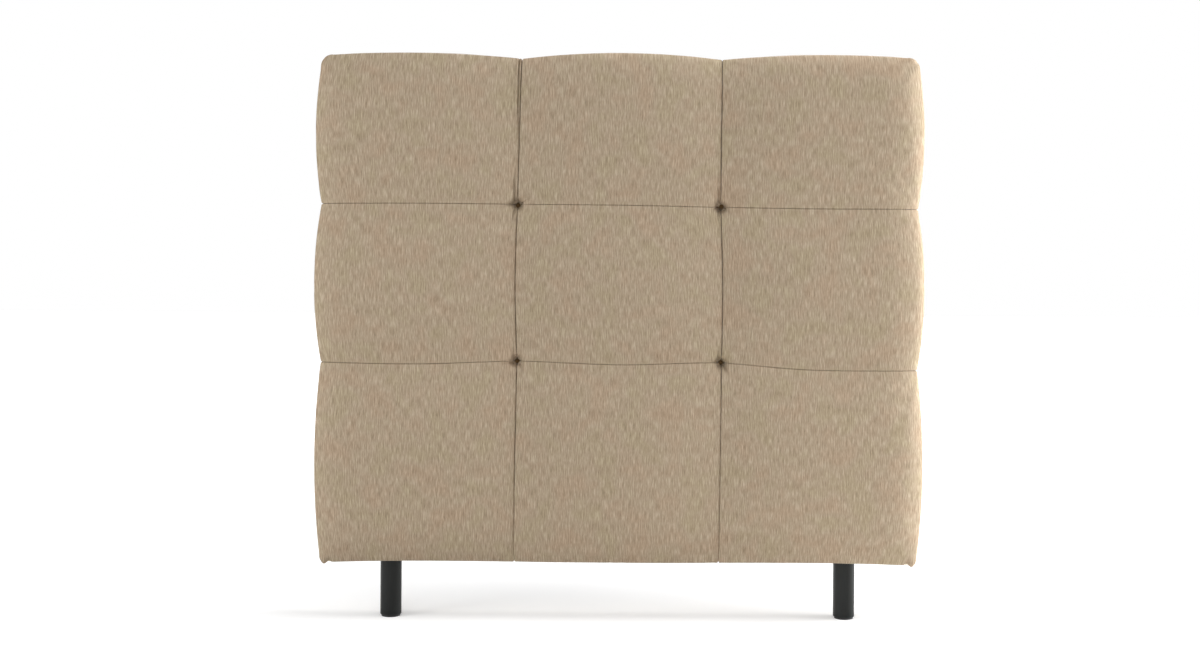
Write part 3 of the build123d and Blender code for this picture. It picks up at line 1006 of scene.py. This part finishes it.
def cover_panel(square, sizes, made):
    """A square of the cover, shaped over its foam, sewn to its neighbours and turned over the back."""
    mesh = panel_sheet(square, sizes)
    lay_pattern(mesh, square)
    run_layer = mesh.verts.layers.float["run"]
    tuck_layer = mesh.verts.layers.float["tuck"]
    flat_x = np.array([vert.co.x for vert in mesh.verts])
    flat_z = np.array([vert.co.z for vert in mesh.verts])
    run = np.array([vert[run_layer] for vert in mesh.verts])
    tuck = np.array([vert[tuck_layer] for vert in mesh.verts])
    shaped = cover_form(square, sizes, flat_x, flat_z, run, tuck)
    for vert, place in zip(mesh.verts, zip(*shaped)):
        vert.co = place
    face_front(mesh)
    settle_order(mesh)
    piece = place_piece(
        f"cover_panel_{square.name}", mesh, made, [f"cover_{square.name}"]
    )

    # How firmly each point is held: sewn at the seams, stapled at the back, free between
    held = np.zeros_like(flat_x)
    for distances, free in square.free_distances(flat_x, flat_z):
        for distance, is_free in zip(distances, free):
            if not is_free:
                held = np.maximum(held, closeness(distance - HELD_FIRM, HELD_FADE))
    held = np.maximum(held, np.where(run > 0, np.clip(run * 1.5 - 0.5, 0, 1), 0))
    held = np.where(tuck > 0, 1.0, held)
    swell(piece, held)

    # Uneven foam, then the creases that the sewing and tufting leave in the cloth
    places = np.zeros(len(piece.data.vertices) * 3)
    piece.data.vertices.foreach_get("co", places)
    places = places.reshape(-1, 3)
    own_slice = square.column + LUMP_ROW_STEP * square.row
    lumps = np.array([
        noise.noise((place[0] * LUMPS_PER_METRE, own_slice, place[2] * LUMPS_PER_METRE))
        for place in places
    ])
    at_front = np.where(run > 0, np.clip(1 - run * 3, 0, 1), 1.0)
    deeper = crease_depth(places[:, 0], places[:, 2])
    places[:, 1] += lumps * LUMP_HEIGHT * at_front * (1 - held) + deeper * at_front
    fold_tips(places, square, run)
    piece.data.vertices.foreach_set("co", places.ravel())

    mesh = bmesh.new()
    mesh.from_mesh(piece.data)
    sew_allowance(mesh, square, sizes)
    face_front(mesh)
    settle_order(mesh)
    for face in mesh.faces:
        face.smooth = True
    mesh.to_mesh(piece.data)
    mesh.free()
    thickness = piece.modifiers.new("thickness", "SOLIDIFY")
    thickness.thickness = sizes.fabric
    thickness.offset = -1
    return piece


def fold_tips(places, square, run):
    """The folded corner tips under the body's two lower corners."""
    if square.row != 0 or square.column == 1:
        return
    outward = 1 if square.column == 2 else -1
    inboard = (outward * half_width - places[:, 0]) * outward
    forward = np.clip(1 - run * 2.5, 0, 1)
    low = closeness(places[:, 2] - bottom_z, TIP_HEIGHT) ** 2 * forward
    places[:, 2] -= TIP_DROP * bell(inboard - TIP_INSET, TIP_WIDTH) * low
    pocket = bell(inboard - POCKET_INSET, POCKET_WIDTH) * low
    places[:, 1] += POCKET_DEPTH * pocket
    places[:, 2] += POCKET_RISE * pocket


def sew_allowance(mesh, square, sizes):
    """Runs the fabric on inwards behind each seam, square to the cover's face."""
    run_layer = mesh.verts.layers.float["run"]
    tuck_layer = mesh.verts.layers.float["tuck"]
    edges = [
        edge for edge in mesh.edges
        if edge.is_boundary and not any(vert[tuck_layer] > 0 for vert in edge.verts)
    ]
    for previous, share in ((0.0, 0.4), (0.4, 1.0)):
        verts, edges = extrude_row(mesh, edges)
        for vert in verts:
            inset_x, inset_z = (
                min((abs(at - places[i]) for i in (0, 1) if free[i]), default=NO_FREE_EDGE)
                for at, places, free in (
                    (vert.co.x, square.x, square.free_x), (vert.co.z, square.z, square.free_z)
                )
            )
            sine = max(0.0, 1 - min(inset_x, inset_z) / sizes.roll_width)
            if vert[run_layer] > 0:
                sine = 1.0
            outward = Vector((0, 0, 0))
            if inset_x < inset_z:
                outward.x = 1 if square.free_x[1] else -1
            else:
                outward.z = 1 if square.free_z[1] else -1
            cosine = math.sqrt(max(0.0, 1 - sine**2))
            normal = outward * (sine / sizes.roll_width) + Vector((0, -cosine / sizes.roll_depth, 0))
            vert.co -= normal.normalized() * sizes.allowance * (share - previous)


def foam_pad(square, sizes, made):
    """The foam under one square: crowned like the cover, and wrapped round the frame's edges."""
    gap = sizes.fabric + FOAM_GAP
    # The foam wraps round the board's sides and top, and stops at its lower edge
    wrap = half_width - board_high.x
    board_sides = [square.x[i] + (wrap, -wrap)[i] for i in (0, 1) if square.free_x[i]]
    board_tops = [square.z[1] - wrap] if square.free_z[1] else []
    levels = []
    for (low, high), free, board_edges in (
        (square.x, square.free_x, board_sides), (square.z, square.free_z, board_tops)
    ):
        lines = grid_levels(low, high, free, sizes.roll_width, 2)
        kept = lines[::3] + [lines[-1]] + board_edges
        levels.append(sorted({round(line, 6) for line in kept}))

    # A front and a back of the same grid, joined at their rims
    mesh = flat_grid(*levels)
    front_verts = list(mesh.verts)
    front_rim = [edge for edge in mesh.edges if edge.is_boundary]
    back = flat_grid(*levels)
    data = bpy.data.meshes.new("foam_back")
    back.to_mesh(data)
    back.free()
    mesh.from_mesh(data)
    bpy.data.meshes.remove(data)
    front_set = set(front_verts)
    back_verts = [vert for vert in mesh.verts if vert not in front_set]
    back_rim = [edge for edge in mesh.edges if edge.is_boundary and edge.verts[0] not in front_set]

    flat_x = np.array([vert.co.x for vert in front_verts])
    flat_z = np.array([vert.co.z for vert in front_verts])
    none = np.zeros_like(flat_x)
    x, y, z = cover_form(square, sizes, flat_x, flat_z, none, none)
    near_tuft = np.min([np.hypot(x - tx, z - tz) for tx, tz in tuft_centres], axis=0)
    corner = np.hypot(np.abs(x) - cad_high.x, z - bottom_z)
    room = gap + np.clip(crease_depth(x, z, CREASE_ROOM_MM), 0, None)
    room += TUFT_ROOM * bell(near_tuft, TUFT_ROOM_WIDTH)
    room += CORNER_ROOM * bell(corner, CORNER_ROOM_WIDTH)
    y = np.minimum(y + room, board_low.y - LEAST_FOAM)
    back_y = board_low.y - BOARD_GAP
    middle_x, middle_z = sum(square.x) / 2, sum(square.z) / 2
    places = {}
    for vert, px, py, pz in zip(front_verts, x, y, z):
        key = (round(vert.co.x, 5), round(vert.co.z, 5))
        px = px + max(-1.0, min(1.0, (middle_x - vert.co.x) / FOAM_TURN)) * gap
        pz = pz + max(-1.0, min(1.0, (middle_z - vert.co.z) / FOAM_TURN)) * gap
        places[key] = (px, pz)
        vert.co = (px, py, pz)
    for vert in back_verts:
        px, pz = places[(round(vert.co.x, 5), round(vert.co.z, 5))]
        if any(near(vert.co.x, side) for side in board_sides):
            px = math.copysign(board_high.x + BOARD_EDGE_GAP, px)
        if any(near(vert.co.z, top) for top in board_tops):
            pz = board_high.z + BOARD_EDGE_GAP
        vert.co = (px, back_y, pz)
    bmesh.ops.bridge_loops(mesh, edges=front_rim + back_rim)

    # What lies beyond the board's edges runs on to the frame's rear
    beyond = []
    for face in mesh.faces:
        centre = face.calc_center_median()
        outside = abs(centre.x) > board_high.x or not board_low.z <= centre.z <= board_high.z
        if outside and all(near(vert.co.y, back_y) for vert in face.verts):
            beyond.append(face)
    if beyond:
        made_faces = bmesh.ops.extrude_face_region(mesh, geom=beyond)["geom"]
        moved = [item for item in made_faces if isinstance(item, bmesh.types.BMVert)]
        bmesh.ops.translate(mesh, vec=(0, frame_rear_y - board_low.y, 0), verts=moved)
        bmesh.ops.delete(mesh, geom=beyond, context="FACES_ONLY")
    bmesh.ops.recalc_face_normals(mesh, faces=mesh.faces)
    settle_order(mesh)
    piece = place_piece(f"foam_pad_{square.name}", mesh, made, [f"foam_{square.name}"])
    return piece


def seam_floor(flat_x, flat_z, sizes):
    """How far back the bottom of the seam's groove lies at a point of the pattern."""
    column = 1 if abs(flat_x) <= seam_x + TOUCH else (2 if flat_x > 0 else 0)
    row = 2 if flat_z > upper_seam_z + TOUCH else (0 if flat_z < lower_seam_z - TOUCH else 1)
    at = (np.array([flat_x]), np.array([flat_z]))
    none = np.zeros(1)
    return float(cover_form(Square(column, row), sizes, *at, none, none)[1][0])


def seam_stitches(sizes, made):
    """The lockstitches between the panels, seen as small bars of thread down in the seam."""
    thread = bmesh.new()
    bmesh.ops.create_cone(
        thread, cap_ends=True, segments=6, radius1=THREAD_RADIUS, radius2=THREAD_RADIUS,
        depth=STITCH_LENGTH,
    )
    bar = bpy.data.meshes.new("stitch")
    thread.to_mesh(bar)
    thread.free()
    mesh = bmesh.new()
    # Each seam: whether it is upright, its place across, and its two ends
    seams = [(True, across, bottom_z, top_z) for across in (-seam_x, seam_x)]
    seams += [(False, across, -half_width, half_width) for across in (lower_seam_z, upper_seam_z)]
    for upright, across, low, high in seams:
        count = int((high - low - 2 * STITCH_EDGE_CLEARANCE) / sizes.stitch_pitch)
        for step in range(count):
            along = low + STITCH_EDGE_CLEARANCE + (step + 0.5) * sizes.stitch_pitch
            flat_x, flat_z = (across, along) if upright else (along, across)
            far = [math.hypot(flat_x - x, flat_z - z) for x, z in tuft_centres]
            if min(far) < STITCH_TUFT_CLEARANCE:
                continue
            offset_x, offset_z = wander(np.array([flat_x]), np.array([flat_z]))
            place = Vector((flat_x + float(offset_x[0]), 0, flat_z + float(offset_z[0])))
            place.y = seam_floor(flat_x, flat_z, sizes) - STITCH_RAISE
            angle = math.radians(STITCH_SLANT + (0 if upright else 90))
            bar.transform(Matrix.Translation(place) @ Matrix.Rotation(angle, 4, "Y"))
            mesh.from_mesh(bar)
            bar.transform(Matrix.Rotation(-angle, 4, "Y") @ Matrix.Translation(-place))
    bpy.data.meshes.remove(bar)
    for face in mesh.faces:
        face.smooth = len(face.verts) == 4
    return place_piece("seam_stitches", mesh, made)


def dust_lines(start, end, centres):
    """The dust cover's grid lines: close ones at the holes, evenly spread ones between."""
    near_holes = {round(centre + line, 6) for centre in centres for line in HOLE_LINES}
    fixed = sorted(near_holes | {start, end})
    kept = [fixed[0]]
    for place in fixed[1:]:
        first = kept[-1]
        count = math.ceil((place - first) / DUST_STEP)
        kept += [first + (place - first) * step / count for step in range(1, count + 1)]
    return kept


def dust_sheet():
    """The dust cover as one layer, holed, and drawn to its staples in small ripples."""
    low, high = dust_low, dust_high
    mesh = flat_grid(
        dust_lines(low.x, high.x, {x for x, _ in HOLE_PLACES}),
        dust_lines(low.z, high.z, {z for _, z in HOLE_PLACES}),
    )
    inside = []
    for face in mesh.faces:
        centre = face.calc_center_median()
        if any(math.hypot(centre.x - x, centre.z - z) < HOLE_RADIUS for x, z in HOLE_PLACES):
            inside.append(face)
    bmesh.ops.delete(mesh, geom=inside, context="FACES")
    for vert in mesh.verts:
        for x, z in HOLE_PLACES:
            off = Vector((vert.co.x - x, 0, vert.co.z - z))
            if vert.is_boundary and off.length < HOLE_RING:
                scale = HOLE_RADIUS / off.length
                vert.co.x = x + off.x * scale
                vert.co.z = z + off.z * scale
    cloth = mesh.loops.layers.uv.new("cloth")
    for face in mesh.faces:
        face.smooth = True
        for loop in face.loops:
            loop[cloth].uv = (loop.vert.co.x, loop.vert.co.z)
    for vert in mesh.verts:
        x, z = vert.co.x, vert.co.z
        from_side = min(x - low.x, high.x - x)
        from_end = min(z - low.z, high.z - z)
        ripple = 0.0
        for along, off in ((z, from_side), (x, from_end)):
            wave = math.cos(2 * math.pi * along / STAPLE_PITCH)
            ripple += wave * math.exp(-off / DUST_RIPPLE_REACH)
        slack = noise.noise((x * DUST_SLACKS_PER_METRE, DUST_SLICE, z * DUST_SLACKS_PER_METRE))
        slack *= min(1, min(from_side, from_end) / DUST_SLACK_REACH)
        vert.co.y = low.y + DUST_REST + DUST_RIPPLE * ripple + DUST_SLACK * slack
    bmesh.ops.reverse_faces(mesh, faces=mesh.faces)
    return mesh


class HEADBOARD_OT_foam(bpy.types.Operator):
    """Make the nine foam pads"""

    bl_idname = "headboard.foam"
    bl_label = "Foam pads"

    def execute(self, context):
        made = foam_material(context.scene.headboard_colours)
        for row in range(len(ROWS)):
            for column in range(len(COLUMNS)):
                foam_pad(Square(column, row), context.scene.headboard_sizes, made)
        return {"FINISHED"}


class HEADBOARD_OT_cover(bpy.types.Operator):
    """Make the nine sewn squares of the cover"""

    bl_idname = "headboard.cover"
    bl_label = "Sewn cover"

    def execute(self, context):
        sizes = context.scene.headboard_sizes
        made = melange_fabric(context.scene.headboard_colours)
        # The cut: the front, at each free side the side and the hem, at each seam the allowance;
        # the corner outside a body corner is cut away
        for row in range(len(ROWS)):
            for column in range(len(COLUMNS)):
                square = Square(column, row)
                piece = cover_panel(square, sizes, made)
        return {"FINISHED"}


class HEADBOARD_OT_stitches(bpy.types.Operator):
    """Sew the seams"""

    bl_idname = "headboard.stitches"
    bl_label = "Stitches"

    def execute(self, context):
        made = sewing_thread(context.scene.headboard_colours)
        seam_stitches(context.scene.headboard_sizes, made)
        return {"FINISHED"}


class HEADBOARD_OT_dust_cover(bpy.types.Operator):
    """Make the thin sheet over the back, with its holes for the bed's bolts"""

    bl_idname = "headboard.dust_cover"
    bl_label = "Dust cover"

    def execute(self, context):
        made = spunbond(context.scene.headboard_colours)
        piece = place_piece("back_dust_cover", dust_sheet(), made, ["dust_cover"])
        thickness = piece.modifiers.new("thickness", "SOLIDIFY")
        thickness.thickness = DUST_THICKNESS
        thickness.offset = 0
        return {"FINISHED"}


class HEADBOARD_OT_staples(bpy.types.Operator):
    """Staple the dust cover to the frame"""

    bl_idname = "headboard.staples"
    bl_label = "Staples"

    def execute(self, context):
        draws = random.Random(7)
        low, high = dust_low, dust_high
        mesh = bmesh.new()
        for start, end, fixed, upright in (
            (low.x, high.x, low.z + STAPLE_INSET, False), (low.x, high.x, high.z - STAPLE_INSET, False),
            (low.z, high.z, low.x + STAPLE_INSET, True), (low.z, high.z, high.x - STAPLE_INSET, True),
        ):
            count = int((end - start - 4 * STAPLE_INSET) / STAPLE_PITCH)
            for step in range(count + 1):
                along = (start + end) / 2 + (step - count / 2) * STAPLE_PITCH
                along += draws.uniform(-STAPLE_SHIFT_MM, STAPLE_SHIFT_MM) * MM
                off = fixed + draws.uniform(-STAPLE_OFF_MM, STAPLE_OFF_MM) * MM
                turn = draws.uniform(-STAPLE_TURN, STAPLE_TURN) + (90 if upright else 0)
                x, z = (off, along) if upright else (along, off)
                place = Matrix.Translation((x, high.y + STAPLE_RAISE, z))
                spin = Matrix.Rotation(math.radians(turn), 4, "Y")
                crown = bmesh.ops.create_cube(
                    mesh, size=1, matrix=place @ spin @ Matrix.Diagonal((*STAPLE_CROWN, 1))
                )
                edges = {edge for vert in crown["verts"] for edge in vert.link_edges}
                bmesh.ops.bevel(
                    mesh, geom=list(edges), offset=STAPLE_BEVEL, offset_type="OFFSET",
                    affect="EDGES", segments=1, profile=0.5, material=-1,
                )
        place_piece("dust_cover_staples", mesh, zinc_steel())
        return {"FINISHED"}


class HEADBOARD_OT_legs(bpy.types.Operator):
    """Finish the legs and their glides"""

    bl_idname = "headboard.legs"
    bl_label = "Legs"

    def execute(self, context):
        dress_nodes(("leg_left", "leg_right"), black_lacquer(context.scene.headboard_colours))
        dress_nodes(("leg_glides",), moulded_plastic("moulded_black_polyethylene", "262626"))
        return {"FINISHED"}


class HEADBOARD_OT_timber(bpy.types.Operator):
    """Finish the frame and the front board"""

    bl_idname = "headboard.timber"
    bl_label = "Frame"

    def execute(self, context):
        rails = ("bottom_rail", "bracket_rail", "middle_rail", "top_rail")
        dress_nodes(rails, planed_pine("planed_pine_lengthwise", (9, 190, 190)))
        dress_nodes(("left_stile", "right_stile"), planed_pine("planed_pine_upright", (190, 190, 9)))
        dress_nodes(("front_board",), poplar_plywood())
        return {"FINISHED"}


class HEADBOARD_OT_fittings(bpy.types.Operator):
    """Finish the inserts, bolts, twines and toggles"""

    bl_idname = "headboard.fittings"
    bl_label = "Fittings"

    def execute(self, context):
        dress_nodes(("bracket_inserts", "leg_inserts", "leg_bolts"), zinc_steel())
        dress_nodes(("tuft_twines",), waxed_twine())
        dress_nodes(("tuft_toggles",), moulded_plastic("moulded_natural_polyethylene", "DAD6CA"))
        return {"FINISHED"}


def seen_by(tree, *kinds):
    """1 for rays of the given kinds and 0 for all others."""
    rays = add_node(tree, "ShaderNodeLightPath")
    seen = rays.outputs[kinds[0]]
    for kind in kinds[1:]:
        seen = add_node(
            tree, "ShaderNodeMath", {"operation": "MAXIMUM"}, {0: seen, 1: rays.outputs[kind]}
        ).outputs[0]
    return seen


class HEADBOARD_OT_stage(bpy.types.Operator):
    """Set up the floor, the lamps and the camera"""

    bl_idname = "headboard.stage"
    bl_label = "Studio"

    def execute(self, context):
        scene = context.scene
        scene.view_settings.view_transform = "Standard"

        # A plain pale floor that keeps the shadow near the headboard and fades to white further off
        mesh = bmesh.new()
        bmesh.ops.create_grid(mesh, x_segments=2, y_segments=2, size=FLOOR_HALF_SIZE)
        data = bpy.data.meshes.new("floor")
        mesh.to_mesh(data)
        mesh.free()
        floor = bpy.data.objects.new("floor", data)
        scene.collection.objects.link(floor)
        made, tree, place = start_material("painted_studio_floor")
        far = add_node(tree, "ShaderNodeVectorMath", {"operation": "LENGTH"}, {0: place})
        white = add_node(
            tree, "ShaderNodeMapRange", {"interpolation_type": "SMOOTHSTEP"},
            {"Value": far.outputs["Value"], **FLOOR_FADE},
        )
        seen = seen_by(tree, "Is Camera Ray", "Is Glossy Ray", "Is Transmission Ray")
        glow = add_node(tree, "ShaderNodeMath", {"operation": "MULTIPLY"}, {0: white, 1: seen})
        paint = add_node(
            tree, "ShaderNodeBsdfDiffuse", (),
            {"Color": (*scene.headboard_colours.floor, 1), "Roughness": 1},
        )
        light = add_node(tree, "ShaderNodeEmission", (), {"Strength": glow})
        both = add_node(tree, "ShaderNodeAddShader", (), {0: paint, 1: light})
        add_node(tree, "ShaderNodeOutputMaterial", (), {"Surface": both})
        data.materials.append(made)

        # Plain white surroundings: soft light on the object, pure white to the camera
        world = bpy.data.worlds.new("studio")
        scene.world = world
        world.use_nodes = True
        tree = world.node_tree
        tree.nodes.clear()
        seen = seen_by(tree, "Is Camera Ray", "Is Glossy Ray")
        strength = add_node(
            tree, "ShaderNodeMapRange", (), {"Value": seen, "To Min": WORLD_LIGHT, "To Max": 1.0}
        )
        background = add_node(
            tree, "ShaderNodeBackground", (), {"Color": (1, 1, 1, 1), "Strength": strength}
        )
        add_node(tree, "ShaderNodeOutputWorld", (), {"Surface": background})

        for name, power, width, height, place, aim in LAMPS:
            lamp = bpy.data.lights.new(name, "AREA")
            lamp.shape = "RECTANGLE"
            lamp.size, lamp.size_y = width, height
            lamp.energy = power
            softbox = bpy.data.objects.new(name, lamp)
            softbox.location = place
            sight = Vector(aim) - Vector(place)
            softbox.rotation_euler = sight.to_track_quat("-Z", "Y").to_euler()
            scene.collection.objects.link(softbox)

        camera = bpy.data.cameras.new("camera")
        camera.sensor_width = SENSOR_WIDTH_MM
        camera.lens = SENSOR_WIDTH_MM * CAMERA_DISTANCE / PICTURE_WIDTH_M
        camera.shift_y = (PICTURE_CENTRE_Z - CAMERA_HEIGHT) / PICTURE_WIDTH_M
        camera.dof.use_dof = False
        camera.clip_end = CAMERA_SIGHT
        eye = bpy.data.objects.new("camera", camera)
        eye.location = (PICTURE_CENTRE_X, cad_low.y - CAMERA_DISTANCE, CAMERA_HEIGHT)
        eye.rotation_euler = (math.pi / 2, math.radians(-CAMERA_ROLL), 0)
        scene.collection.objects.link(eye)
        scene.camera = eye
        return {"FINISHED"}


class HEADBOARD_PT_panel(bpy.types.Panel):
    """The headboard's sizes, colours and pieces"""

    bl_label = "Headboard"
    bl_idname = "HEADBOARD_PT_panel"
    bl_space_type = "VIEW_3D"
    bl_region_type = "UI"
    bl_category = "Headboard"

    def draw(self, context):
        for group in (context.scene.headboard_sizes, context.scene.headboard_colours):
            box = self.layout.box()
            for name in group.__annotations__:
                box.prop(group, name)
        for operator in OPERATORS:
            self.layout.operator(operator.bl_idname)


OPERATORS = (
    HEADBOARD_OT_foam,
    HEADBOARD_OT_cover,
    HEADBOARD_OT_stitches,
    HEADBOARD_OT_dust_cover,
    HEADBOARD_OT_staples,
    HEADBOARD_OT_legs,
    HEADBOARD_OT_timber,
    HEADBOARD_OT_fittings,
    HEADBOARD_OT_stage,
)
CLASSES = (HeadboardSizes, HeadboardColours, *OPERATORS, HEADBOARD_PT_panel)


def register():
    for item in CLASSES:
        bpy.utils.register_class(item)
    bpy.types.Scene.headboard_sizes = bpy.props.PointerProperty(type=HeadboardSizes)
    bpy.types.Scene.headboard_colours = bpy.props.PointerProperty(type=HeadboardColours)


def unregister():
    del bpy.types.Scene.headboard_colours
    del bpy.types.Scene.headboard_sizes
    for item in reversed(CLASSES):
        bpy.utils.unregister_class(item)


def main():
    register()
    bpy.ops.headboard.foam()
    bpy.ops.headboard.cover()
    bpy.ops.headboard.stitches()
    bpy.ops.headboard.dust_cover()
    bpy.ops.headboard.staples()
    bpy.ops.headboard.legs()
    bpy.ops.headboard.timber()
    bpy.ops.headboard.fittings()
    bpy.ops.headboard.stage()


if __name__ == "__main__":
    main()
